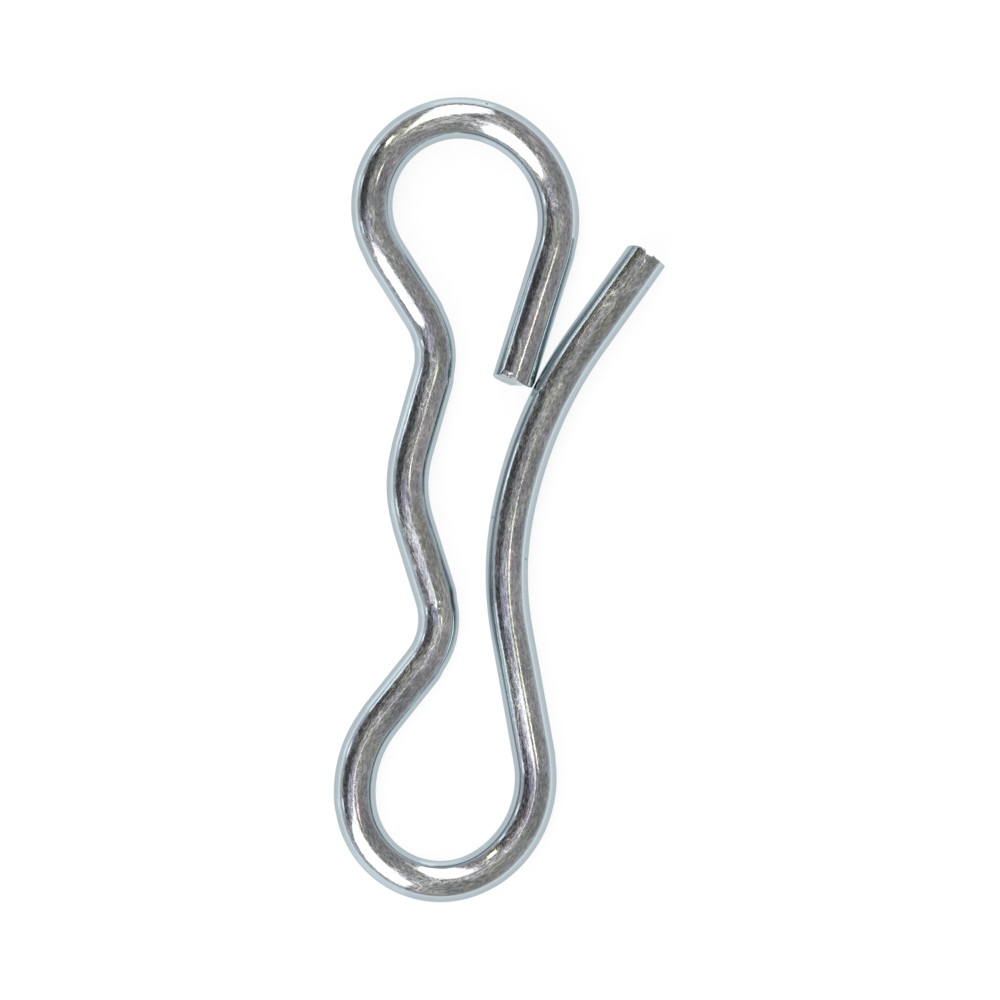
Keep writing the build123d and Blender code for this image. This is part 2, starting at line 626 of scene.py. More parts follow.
@dataclass(frozen=True)
class TipCut(CutEnd):
    """The leg's end: rolled over on its left, with the nick where the shear's two cracks met.

    Attributes:
        tilt: Degrees off square, looking down.
        set_back: How far the face's middle stands back.
        drift: How far the lines down the face move to the left, per mm of height.
        roll_width: The width of the rolled-over left side.
        roll_depth: How far that side falls back.
        nick_from: Where the nick starts, to the right of the middle.
        nick_from_width: The width of the step down into it.
        nick_to: Where it ends.
        nick_to_width: The width of the step up out of it.
        nick_depth: Its depth at its start. It is half as deep at its end.
        spike: The height of the sliver at the nick's end.
        spike_width: How far from its middle the sliver has fallen to six tenths.
        broken_back: How far the broken right side stands back from the sheared left.
        coarse_break: The height of the wider waves of the break.
        fine_break: The height of the finer ones.
    """

    tilt: float = 3.0
    set_back: float = 0.03
    drift: float = 0.06
    roll_width: float = 1.15
    roll_depth: float = 0.40
    nick_from: float = -0.14
    nick_from_width: float = 0.07
    nick_to: float = 0.46
    nick_to_width: float = 0.03
    nick_depth: float = 0.19
    spike: float = 0.10
    spike_width: float = 0.04
    broken_back: float = 0.05
    coarse_break: float = 0.014
    fine_break: float = 0.010

    def face(self, across: np.ndarray, up: np.ndarray) -> np.ndarray:
        """A flat face with a rolled side, a nick and a sliver, all lines down the face.

        The rolled side falls with the square of the distance from its inner edge. The nick lies
        between two steep smooth steps, and grows shallower to the right. Two waves, drawn on a
        slant, roughen the break from the nick rightwards.

        Args:
            across: Places to the left of the wire's middle.
            up: Places above the wire's middle.

        Returns:
            The distance out along the wire at each place.
        """
        right = -across + self.drift * up
        roll = np.clip((-right - (self.wire_radius - self.roll_width)) / self.roll_width, 0, 1) ** 2
        broken = step_up(right, self.nick_from, self.nick_from_width)
        in_nick = broken * (1 - step_up(right, self.nick_to, self.nick_to_width))
        passed = np.clip((right - self.nick_from) / (self.nick_to - self.nick_from), 0, 1)
        nick = self.nick_depth * in_nick * (1 - 0.5 * passed)
        sliver = self.spike * ridge(right, self.nick_to + 0.01, self.spike_width)
        coarse = self.coarse_break * np.sin(17 * right + 3 * up)
        fine = self.fine_break * np.sin(29 * right - 5 * up)
        flat = up * math.tan(math.radians(self.tilt)) - self.set_back
        break_side = broken * (coarse + fine - self.broken_back)
        return flat - self.roll_depth * roll - nick + sliver + break_side


@dataclass(frozen=True)
class Mark:
    """A small round dent in the wire's side, or a bead on it. Sizes are in mm.

    Attributes:
        along: How far from the tail's end. Less than nothing counts from the leg's tip.
        round_wire: Degrees round the wire, from its left side up over its top.
        size: How far from its middle it has fallen to six tenths.
        depth: Its depth. Less than nothing makes it a bead.
    """

    along: float
    round_wire: float
    size: float
    depth: float

    def depth_at(
        self, distance: np.ndarray, angle: np.ndarray, length: float, radius: float
    ) -> np.ndarray:
        """How deep the mark is: its depth times a bell of the distance over the surface.

        Args:
            distance: Places along the wire, in mm.
            angle: Places round it, in radians.
            length: The wire's length.
            radius: Half of its diameter.

        Returns:
            The depth at each place.
        """
        turned = np.mod(angle - math.radians(self.round_wire) + np.pi, 2 * np.pi) - np.pi
        nearby = ridge(distance, self.along % length, self.size) * ridge(radius * turned, 0.0, self.size)
        return self.depth * nearby


@dataclass(frozen=True)
class PlatePatterns:
    """The patterns that the plate's colour, haze and relief are made from, all 0 to 1.

    Attributes:
        rubbed: Where the wire is rubbed, on its upper and lower sides.
        crystals: Patches of brighter and duller crystals.
        clouds: Slow clouds of them.
        scuffs: Thin scuffs, in the brighter clouds.
        tint: Streaks of tint in the film.
        pits: How far each place is from the nearest pit, where 1 is the pits' spacing.
    """

    rubbed: bpy.types.NodeSocket
    crystals: bpy.types.NodeSocket
    clouds: bpy.types.NodeSocket
    scuffs: bpy.types.NodeSocket
    tint: bpy.types.NodeSocket
    pits: bpy.types.NodeSocket


@dataclass(frozen=True)
class ZincPlate:
    """Bright zinc electroplate over drawn steel wire, passivated clear blue, then tumbled.

    Zinc plated wire mirrors the room in long soft bands. Tumbled flat, it rubs on its upper and
    lower sides: there the plate is a close mat of bright and dull crystals, drawn out along the
    wire, with fine scuffs, so that a dark reflection looks mottled grey and a lamp's edge is
    frayed. Its flanks stay bright and smooth. The film gives faint lilac, straw and blue tints.

    Attributes:
        plate: The plate's own colour, as on the flanks.
        rubbed_plate: Its brighter colour where it is rubbed.
        edge: The film's colour seen at a slant, which keeps the wire's rims from going white.
        lilac: The film's lilac tint.
        straw: The film's straw tint.
        dull: The colour of the duller crystals.
        scuff: The bare, bright metal in a scuff.
        pit: The colour of a speck of dirt in a pit.
        rubbed_between: The heights over the wire's middle between which the rubbing sets in, as
            shares of its radius.
        crystal_mm: The width of a patch of crystals. Real ones are a tenth of that, too fine to
            show, so they are drawn as the patches that the eye parts.
        crystal_ratio: How many times longer than wide a patch is, along the wire.
        scuff_mm: The spacing of the scuffs.
        cloud_mm: The size of the brighter and duller stretches.
        tint_mm: The width of a tinted streak.
        pit_mm: The spacing of the pits.
        smooth_roughness: The least and most roughness of the smooth metal between the crystals.
        haze_roughness: How widely the crystals scatter light.
        haze_share: The least and most share of light that they scatter.
        scuff_haze: How much more a scuff scatters.
        scuff_bright: How much of a scuff's own colour shows.
        relief_mm: The height of the crystals.
        scuff_depth: The depth of a scuff, as a share of that.
        flank_relief: The relief left on the flanks, as a share of that.
    """

    plate: str = "b3bfc5"
    rubbed_plate: str = "c9cfd1"
    edge: str = "dde3e4"
    lilac: str = "c5bfc9"
    straw: str = "c6c7bd"
    dull: str = "7f8589"
    scuff: str = "e6e6e4"
    pit: str = "36383a"
    rubbed_between: tuple[float, float] = (0.66, 0.84)
    crystal_mm: float = 0.11
    crystal_ratio: float = 3.5
    scuff_mm: float = 0.55
    cloud_mm: float = 1.6
    tint_mm: float = 0.9
    pit_mm: float = 2.3
    smooth_roughness: tuple[float, float] = (0.04, 0.12)
    haze_roughness: float = 0.32
    haze_share: tuple[float, float] = (0.12, 0.52)
    scuff_haze: float = 0.30
    scuff_bright: float = 0.75
    relief_mm: float = 0.0026
    scuff_depth: float = 0.35
    flank_relief: float = 0.15

    def patterns(self, tree: bpy.types.NodeTree, wire_radius: float) -> PlatePatterns:
        """Lays the patterns on the wire by the mesh's wire_place attribute.

        The noises are drawn out along the wire, as the plate is by the drawing and tumbling.

        Args:
            tree: The material's nodes.
            wire_radius: Half of the wire's diameter, in mm.

        Returns:
            The patterns.
        """
        place = add_node(tree, "ShaderNodeAttribute", attribute_name="wire_place").outputs["Vector"]
        up = add_node(tree, "ShaderNodeSeparateXYZ", {"Vector": place}).outputs["Z"]
        height = add_node(tree, "ShaderNodeMath", {0: up}, operation="ABSOLUTE").outputs["Value"]
        sets_in, is_full = (share * wire_radius * MM for share in self.rubbed_between)
        rubbed = add_node(
            tree,
            "ShaderNodeMapRange",
            {"Value": height, "From Min": sets_in, "From Max": is_full},
            interpolation_type="SMOOTHSTEP",
        ).outputs["Result"]

        drawn_out = add_node(
            tree, "ShaderNodeMapping", {"Vector": place, "Scale": (1 / self.crystal_ratio, 1.0, 1.0)}
        ).outputs["Vector"]
        crystals = add_node(
            tree,
            "ShaderNodeTexNoise",
            {"Vector": drawn_out, "Scale": 1 / (self.crystal_mm * MM), "Detail": 4.0, "Roughness": 0.72},
        ).outputs["Fac"]
        clouds = add_node(
            tree,
            "ShaderNodeTexNoise",
            {"Vector": drawn_out, "Scale": 1 / (self.cloud_mm * MM), "Detail": 4.0, "Roughness": 0.7},
        ).outputs["Fac"]
        tint = add_node(
            tree,
            "ShaderNodeTexNoise",
            {"Vector": drawn_out, "Scale": 1 / (self.tint_mm * MM), "Detail": 3.0, "Roughness": 0.6},
        ).outputs["Fac"]

        # A scuff is the thin line where a slow, wrung noise passes its middle value.
        wrung = add_node(
            tree,
            "ShaderNodeTexNoise",
            {"Vector": drawn_out, "Scale": 1 / (self.scuff_mm * MM), "Detail": 3.0, "Distortion": 0.8},
        ).outputs["Fac"]
        at_middle = add_node(
            tree, "ShaderNodeMath", {0: wrung, 1: 0.5, 2: 0.018}, operation="COMPARE"
        ).outputs["Value"]
        in_bright_cloud = add_node(
            tree,
            "ShaderNodeMapRange",
            {"Value": clouds, "From Min": 0.42, "From Max": 0.58},
            interpolation_type="SMOOTHSTEP",
        ).outputs["Result"]
        scuffs = add_node(
            tree, "ShaderNodeMath", {0: at_middle, 1: in_bright_cloud}, operation="MULTIPLY"
        ).outputs["Value"]
        pits = add_node(
            tree, "ShaderNodeTexVoronoi", {"Vector": place, "Scale": 1 / (self.pit_mm * MM)}
        ).outputs["Distance"]
        return PlatePatterns(rubbed, crystals, clouds, scuffs, tint, pits)

    def film_colour(self, tree: bpy.types.NodeTree, patterns: PlatePatterns) -> bpy.types.NodeSocket:
        """The plate's colour under its film: even on the flanks, and tinted where it is rubbed.

        Args:
            tree: The material's nodes.
            patterns: The plate's patterns.

        Returns:
            The colour.
        """
        film = add_node(tree, "ShaderNodeValToRGB", {"Fac": patterns.tint})
        film.color_ramp.elements[0].position = 0.36
        film.color_ramp.elements[0].color = linear(self.lilac)
        film.color_ramp.elements[1].position = 0.64
        film.color_ramp.elements[1].color = linear(self.straw)
        film.color_ramp.elements.new(0.5).color = linear(self.rubbed_plate)
        return add_node(
            tree,
            "ShaderNodeMix",
            {0: patterns.rubbed, 6: linear(self.plate), 7: film.outputs["Color"]},
            data_type="RGBA",
        ).outputs[2]

    def colour(self, tree: bpy.types.NodeTree, patterns: PlatePatterns) -> bpy.types.NodeSocket:
        """The film's colour, with duller crystals, brighter scuffs and dark pits.

        A place is duller the less its crystals and 0.55 of its clouds come to.

        Args:
            tree: The material's nodes.
            patterns: The plate's patterns.

        Returns:
            The colour.
        """
        brightness = add_node(
            tree,
            "ShaderNodeMath",
            {0: patterns.clouds, 1: 0.55, 2: patterns.crystals},
            operation="MULTIPLY_ADD",
        ).outputs["Value"]
        dullness = add_node(
            tree,
            "ShaderNodeMapRange",
            {"Value": brightness, "From Min": 0.60, "From Max": 0.92, "To Min": 1.0, "To Max": 0.0},
        ).outputs["Result"]
        dull_share = add_node(
            tree, "ShaderNodeMath", {0: dullness, 1: patterns.rubbed}, operation="MULTIPLY"
        ).outputs["Value"]
        mottled = add_node(
            tree,
            "ShaderNodeMix",
            {0: dull_share, 6: self.film_colour(tree, patterns), 7: linear(self.dull)},
            data_type="RGBA",
        ).outputs[2]

        rubbed_scuffs = add_node(
            tree, "ShaderNodeMath", {0: patterns.scuffs, 1: patterns.rubbed}, operation="MULTIPLY"
        ).outputs["Value"]
        scuff_share = add_node(
            tree, "ShaderNodeMath", {0: rubbed_scuffs, 1: self.scuff_bright}, operation="MULTIPLY"
        ).outputs["Value"]
        scuffed = add_node(
            tree, "ShaderNodeMix", {0: scuff_share, 6: mottled, 7: linear(self.scuff)}, data_type="RGBA"
        ).outputs[2]
        pit_share = add_node(
            tree,
            "ShaderNodeMapRange",
            {"Value": patterns.pits, "From Min": 0.030, "From Max": 0.042, "To Min": 0.9, "To Max": 0.0},
        ).outputs["Result"]
        return add_node(
            tree, "ShaderNodeMix", {0: pit_share, 6: scuffed, 7: linear(self.pit)}, data_type="RGBA"
        ).outputs[2]

    def haze(self, tree: bpy.types.NodeTree, patterns: PlatePatterns) -> bpy.types.NodeSocket:
        """The share of light that the crystals and scuffs scatter, for a lamp's hazy, frayed rim.

        Args:
            tree: The material's nodes.
            patterns: The plate's patterns.

        Returns:
            The share, which is nothing on the smooth flanks.
        """
        least, most = self.haze_share
        crystals = patterns.crystals
        by_crystals = add_node(
            tree,
            "ShaderNodeMapRange",
            {"Value": crystals, "From Min": 0.42, "From Max": 0.62, "To Min": least, "To Max": most},
        ).outputs["Result"]
        by_scuffs_too = add_node(
            tree,
            "ShaderNodeMath",
            {0: patterns.scuffs, 1: self.scuff_haze, 2: by_crystals},
            operation="MULTIPLY_ADD",
        ).outputs["Value"]
        return add_node(
            tree, "ShaderNodeMath", {0: by_scuffs_too, 1: patterns.rubbed}, operation="MULTIPLY"
        ).outputs["Value"]

    def relief(self, tree: bpy.types.NodeTree, patterns: PlatePatterns) -> bpy.types.NodeSocket:
        """The lie of the surface over the crystals and in the scuffs.

        Args:
            tree: The material's nodes.
            patterns: The plate's patterns.

        Returns:
            The surface's direction.
        """
        raised = add_node(
            tree,
            "ShaderNodeMath",
            {0: patterns.scuffs, 1: -self.scuff_depth, 2: patterns.crystals},
            operation="MULTIPLY_ADD",
        ).outputs["Value"]
        full = self.relief_mm * MM
        scale = add_node(
            tree,
            "ShaderNodeMapRange",
            {"Value": patterns.rubbed, "To Min": self.flank_relief * full, "To Max": full},
        ).outputs["Result"]
        height = add_node(tree, "ShaderNodeMath", {0: raised, 1: scale}, operation="MULTIPLY")
        return add_node(
            tree, "ShaderNodeBump", {"Height": height.outputs["Value"], "Strength": 1.0, "Distance": 1.0}
        ).outputs["Normal"]

    def material(self, wire_radius: float) -> bpy.types.Material:
        """Makes the finish: smooth metal, mixed with scattering crystals by the haze.

        Args:
            wire_radius: Half of the wire's diameter, in mm.

        Returns:
            The material.
        """
        made = bpy.data.materials.new("bright_zinc_plated_drawn_steel")
        tree = empty_tree(made)
        patterns = self.patterns(tree, wire_radius)
        metal = {
            "Base Color": self.colour(tree, patterns),
            "Metallic": 1.0,
            "Normal": self.relief(tree, patterns),
        }
        smoothest, roughest = self.smooth_roughness
        roughness = add_node(
            tree,
            "ShaderNodeMapRange",
            {
                "Value": patterns.clouds,
                "From Min": 0.35,
                "From Max": 0.65,
                "To Min": smoothest,
                "To Max": roughest,
            },
        ).outputs["Result"]
        smooth = add_node(
            tree,
            "ShaderNodeBsdfPrincipled",
            metal | {"Roughness": roughness, "Specular Tint": linear(self.edge)},
        )
        scatter = add_node(tree, "ShaderNodeBsdfPrincipled", metal | {"Roughness": self.haze_roughness})
        shader = add_node(
            tree,
            "ShaderNodeMixShader",
            {0: self.haze(tree, patterns), 1: smooth.outputs["BSDF"], 2: scatter.outputs["BSDF"]},
        )
        add_node(tree, "ShaderNodeOutputMaterial", {"Surface": shader.outputs["Shader"]})
        return made


@dataclass
class WirePin:
    """The pin itself: one round wire along its course, with a sheared cut at each end.

    Attributes:
        course: The wire's route.
        finish: What the wire is plated with.
        stations: How many sections stand along the wire.
        around: How many points each section has.
        edge_round: The small round that plating and tumbling leave on a cut's edge, in mm.
        round_rings: Rings on the rounded edge of each cut.
        face_rings: Rings on each cut face.
        bend_thinning: How much a shoulder's outer side is drawn in, in mm.
        thinned_at: The curvature at which that much is drawn in, in 1/mm.
        out_of_round: How far the drawn wire strays from round, in mm.
        marks: The small marks of handling: at the cut edges, where the tail bears, and elsewhere.
        mark_stations: How many more sections stand across each mark.
    """

    course: WireCourse = field(default_factory=WireCourse)
    finish: ZincPlate = field(default_factory=ZincPlate)
    stations: int = 950
    around: int = 84
    edge_round: float = 0.09
    round_rings: int = 5
    face_rings: int = 14
    bend_thinning: float = 0.11
    thinned_at: float = 0.19
    out_of_round: float = 0.03
    marks: tuple[Mark, ...] = (
        Mark(along=0.08, round_wire=73, size=0.13, depth=-0.08),
        Mark(along=0.12, round_wire=60, size=0.10, depth=0.08),
        Mark(along=13.5, round_wire=119, size=0.10, depth=0.02),
        Mark(along=63.2, round_wire=82, size=0.20, depth=0.03),
        Mark(along=-12.36, round_wire=47, size=0.15, depth=-0.06),
        Mark(along=-11.5, round_wire=22, size=0.14, depth=-0.04),
        Mark(along=-0.31, round_wire=104, size=0.13, depth=0.03),
    )
    mark_stations: int = 20

    def cap_rows(self) -> tuple[np.ndarray, np.ndarray]:
        """The rings of one cut, from the wire's side inwards, without its middle.

        Over the rounded edge the radius shrinks by the round times one less the cosine of an
        angle, and the ring rises by the round times its sine. The rest of the face is flat, and
        its rings shrink evenly towards the middle.

        Returns:
            The share of the wire's radius at each ring, and how far each lies below the face.
        """
        angle = np.linspace(0, np.pi / 2, self.round_rings + 1)[1:]
        rounded = 1 - self.edge_round / self.course.wire_radius * (1 - np.cos(angle))
        below = self.edge_round * (1 - np.sin(angle))
        flat = np.linspace(rounded[-1], 0, self.face_rings + 1)[1:-1]
        return np.concatenate([rounded, flat]), np.concatenate([below, np.zeros(len(flat))])

    def spread_stations(self, length: float) -> np.ndarray:
        """Where the sections stand: evenly along the wire, and closer across each mark.

        The closer ones reach two and a half of the mark's sizes to each side of its middle.

        Args:
            length: The wire's length, in mm.

        Returns:
            The distances along the wire, in order, in mm.
        """
        even = np.linspace(0, length, self.stations)
        closer = [
            mark.along % length + 2.5 * mark.size * np.linspace(-1, 1, self.mark_stations)
            for mark in self.marks
        ]
        return np.unique(np.round(np.clip(np.concatenate([even, *closer]), 0, length), 4))

    def rings(self, length: float) -> tuple[np.ndarray, np.ndarray, np.ndarray]:
        """Lines up every ring, from the middle of the tail's cut to the middle of the tip's.

        Args:
            length: The wire's length, in mm.

        Returns:
            How far along the wire each ring stands, its share of the wire's radius, and how far
            it lies below the face of the cut beside it.
        """
        share, below = self.cap_rows()
        stations = self.spread_stations(length)
        side = np.ones(len(stations))
        cap_count = len(share) + 1
        return (
            np.concatenate([np.zeros(cap_count), stations, np.full(cap_count, length)]),
            np.concatenate([[0], share[::-1], side, share, [0]]),
            np.concatenate([[0], below[::-1], self.edge_round * side, below, [0]]),
        )

    def strayed(self, distance: np.ndarray, angle: np.ndarray, length: float) -> np.ndarray:
        """How far the wire's surface lies inside a true cylinder.

        Three waves go round the wire two, three and five times and turn slowly along it, and
        each comes and goes along its length. Their sum is raised so that it is never negative.
        The marks are added.

        Args:
            distance: Places along the wire, in mm.
            angle: Places round it, in radians.
            length: The wire's length, in mm.

        Returns:
            The depth at each place, in mm.
        """
        oval = 0.45 * np.cos(2 * angle + distance / 11.0) * np.cos(distance / 7.3)
        lobed = 0.30 * np.cos(3 * angle - distance / 6.1) * np.cos(distance / 4.1 + 1.0)
        ribbed = 0.14 * np.cos(5 * angle + distance / 2.9) * np.cos(distance / 2.3 + 2.0)
        radius = self.course.wire_radius
        marked = sum(mark.depth_at(distance, angle, length, radius) for mark in self.marks)
        return self.out_of_round * (0.5 + 0.5 * (oval + lobed + ribbed)) + marked

    def section_radius(self, at: Centreline, angle: np.ndarray) -> np.ndarray:
        """The wire's radius all over: thinned outside its bends, and a little out of round.

        On the outer side of a bend the radius is less by the thinning, times the square of the
        curvature there and the square of the cosine of the angle round the wire.

        Args:
            at: The centreline at every ring.
            angle: The places round the wire, in radians.

        Returns:
            The radius at each ring and place, in mm.
        """
        curvature = at.curvature[:, None]
        outer = np.clip(-np.sign(curvature) * np.cos(angle), 0, None)
        thinned = self.bend_thinning * (curvature / self.thinned_at) ** 2 * outer**2
        strayed = self.strayed(at.distance[:, None], angle[None, :], at.length)
        return self.course.wire_radius - thinned - strayed

    def onto_cuts(
        self, distance: np.ndarray, below: np.ndarray, across: np.ndarray, up: np.ndarray
    ) -> np.ndarray:
        """How far each point is moved ahead, so that the rings of an end lie on its cut.

        The move is full at the end and fades evenly over the cut's stub, so that the rings
        before it lean more and more.

        Args:
            distance: How far along the wire each ring stands, in mm.
            below: How far each ring lies below the cut's face.
            across: Each point's place to the left of the wire's middle.
            up: Each point's place above it.

        Returns:
            The move ahead at each point, in mm.
        """
        radius = self.course.wire_radius
        tail = TailCut(radius, corner_length=self.course.tail_corner_length)
        tip = TipCut(radius)
        near_tail = np.clip(1 - distance / tail.stub, 0, 1)[:, None]
        near_tip = np.clip(1 - (distance[-1] - distance) / tip.stub, 0, 1)[:, None]
        out_at_tail = near_tail * (tail.face(across, up) - below[:, None])
        out_at_tip = near_tip * (tip.face(across, up) - below[:, None])
        return out_at_tip - out_at_tail

    def surface(self) -> tuple[np.ndarray, np.ndarray]:
        """Carries the round section along the course and closes it with the two cuts.

        A point is the centreline's point, plus its distance across times the step to the left,
        plus its height, plus its move ahead times the step ahead. Across and height are the
        radius times the cosine and the sine of the angle round the wire.

        Returns:
            The points, in metres, ring by ring and then the two poles, and each point's place
            on the wire as if it were straight: along, across and up, in metres.
        """
        line = self.course.centreline()
        distance, share, below = self.rings(line.length)
        at = line.sampled(distance)
        angle = np.linspace(0, 2 * np.pi, self.around, endpoint=False)
        section = share[:, None] * self.section_radius(at, angle)
        across, up = section * np.cos(angle), section * np.sin(angle)
        ahead = self.onto_cuts(distance, below, across, up)
        plan = at.point[:, None] + at.heading[:, None] * (ahead + 1j * across)
        grids = (
            np.stack([plan.real, plan.imag, up], axis=-1),
            np.stack([distance[:, None] + ahead, across, up], axis=-1),
        )
        points, places = (
            np.concatenate([grid[1:-1].reshape(-1, 3), grid[[0, -1], 0]]) * MM for grid in grids
        )
        return points, places

    def faces(self, rings: int) -> list[list[int]]:
        """Joins each ring to the next with four-sided faces, and the end rings to the poles.

        Args:
            rings: How many rings there are.

        Returns:
            The faces, as point numbers, turned so that they face out.
        """
        column = np.arange(self.around)
        after = (column + 1) % self.around
        row = np.arange(rings - 1)[:, None] * self.around
        next_row = row + self.around
        quads = np.stack([row + column, row + after, next_row + after, next_row + column], axis=-1)
        last = (rings - 1) * self.around
        pole = rings * self.around
        start = np.stack([after, column, np.full_like(column, pole)], axis=-1)
        finish = np.stack([last + column, last + after, np.full_like(column, pole + 1)], axis=-1)
        return quads.reshape(-1, 4).tolist() + start.tolist() + finish.tolist()

    def build(self) -> bpy.types.Object:
        """Makes the wire's mesh and object, dressed and riding on the pin's body.

        Returns:
            The object, at the origin.
        """
        points, places = self.surface()
        rings = (len(points) - 2) // self.around
        mesh = bpy.data.meshes.new("plated_wire")
        mesh.from_pydata(points.tolist(), [], self.faces(rings))
        mesh.shade_smooth()
        attribute = mesh.attributes.new("wire_place", "FLOAT_VECTOR", "POINT")
        attribute.data.foreach_set("vector", places.ravel())
        mesh.validate()
        wire = add_object("plated_wire", mesh)
        self.dress(wire)
        return wire

    def dress(self, wire: bpy.types.Object) -> None:
        """Gives the wire its finish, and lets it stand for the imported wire.

        Args:
            wire: The wire's object.
        """
        wire.data.materials.append(self.finish.material(self.course.wire_radius))
        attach(wire, "root")
        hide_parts("wire_pin")


@dataclass(frozen=True)
class Lamp:
    """A flat rectangular lamp that faces the pin.

    Attributes:
        name: What the lamp is.
        azimuth: Degrees from +X, towards +Y.
        from_zenith: Degrees down from straight above.
        wide: The angle that it fills along the horizon, in degrees.
        high: The angle that it fills up and down, in degrees.
        brightness: How bright its face is, where a white floor under plain light is 1.
        colour: Its colour.
        away: Its distance from the pin, in metres.
    """

    name: str
    azimuth: float
    from_zenith: float
    wide: float
    high: float
    brightness: float
    colour: str = "ffffff"
    away: float = 0.6

    def build(self) -> bpy.types.Object:
        """Makes the lamp. Its power is its brightness times pi times its area, in watts.

        Returns:
            The lamp, in the scene.
        """
        data = bpy.data.lights.new(self.name, "AREA")
        data.shape = "RECTANGLE"
        data.size = 2 * self.away * math.tan(math.radians(self.wide / 2))
        data.size_y = 2 * self.away * math.tan(math.radians(self.high / 2))
        data.energy = self.brightness * math.pi * data.size * data.size_y
        data.color = linear(self.colour)[:3]
        line = towards(self.azimuth, self.from_zenith)
        lamp = add_object(self.name, data)
        lamp.location = line * self.away
        lamp.rotation_euler = (-line).to_track_quat("-Z", "Y").to_euler()
        return lamp


@dataclass(frozen=True)
class Softbox:
    """A flat softbox of any outline, square to the pin, whose cloth face shines evenly.

    Attributes:
        name: What the softbox is.
        corners: Its corners as seen from the pin: azimuth and degrees from straight above.
        brightness: How bright its face is, where a white floor under plain light is 1.
        colour: Its colour.
        away: Its distance from the pin, in metres.
    """

    name: str
    corners: tuple[tuple[float, float], ...]
    brightness: float
    colour: str = "ffffff"
    away: float = 0.8

    def build(self) -> bpy.types.Object:
        """Makes the face. Each corner's line from the pin is cut by a plane at that distance.

        Returns:
            The softbox, unseen by the camera itself.
        """
        lines = [towards(*corner) for corner in self.corners]
        middle = sum(lines, Vector()).normalized()
        points = [line * (self.away / line.dot(middle)) for line in lines]
        softbox = add_panel(self.name, points, self.material())
        softbox.visible_camera = False
        return softbox

    def material(self) -> bpy.types.Material:
        """White diffuser cloth with the lamp behind it, so that its whole face shines evenly.

        Returns:
            The material.
        """
        made = bpy.data.materials.new(self.name + "_diffuser_cloth")
        tree = empty_tree(made)
        shine = add_node(
            tree, "ShaderNodeEmission", {"Color": linear(self.colour), "Strength": self.brightness}
        )
        add_node(tree, "ShaderNodeOutputMaterial", {"Surface": shine.outputs["Emission"]})
        return made


def low_window(side: str, azimuths: tuple[float, float], from_zenith: tuple[float, float]) -> Softbox:
    """One of the room's low windows: an oblong of cool daylight that reaches the wire's flanks.

    Args:
        side: Which side of the room it is on.
        azimuths: Its two sides, in degrees from +X.
        from_zenith: Its top and foot, in degrees from straight above.

    Returns:
        The window, as a softbox.
    """
    (first, last), (top, foot) = azimuths, from_zenith
    corners = ((first, top), (first, foot), (last, foot), (last, top))
    return Softbox(f"low_window_{side}", corners, brightness=2.6, colour="eaf6ff")


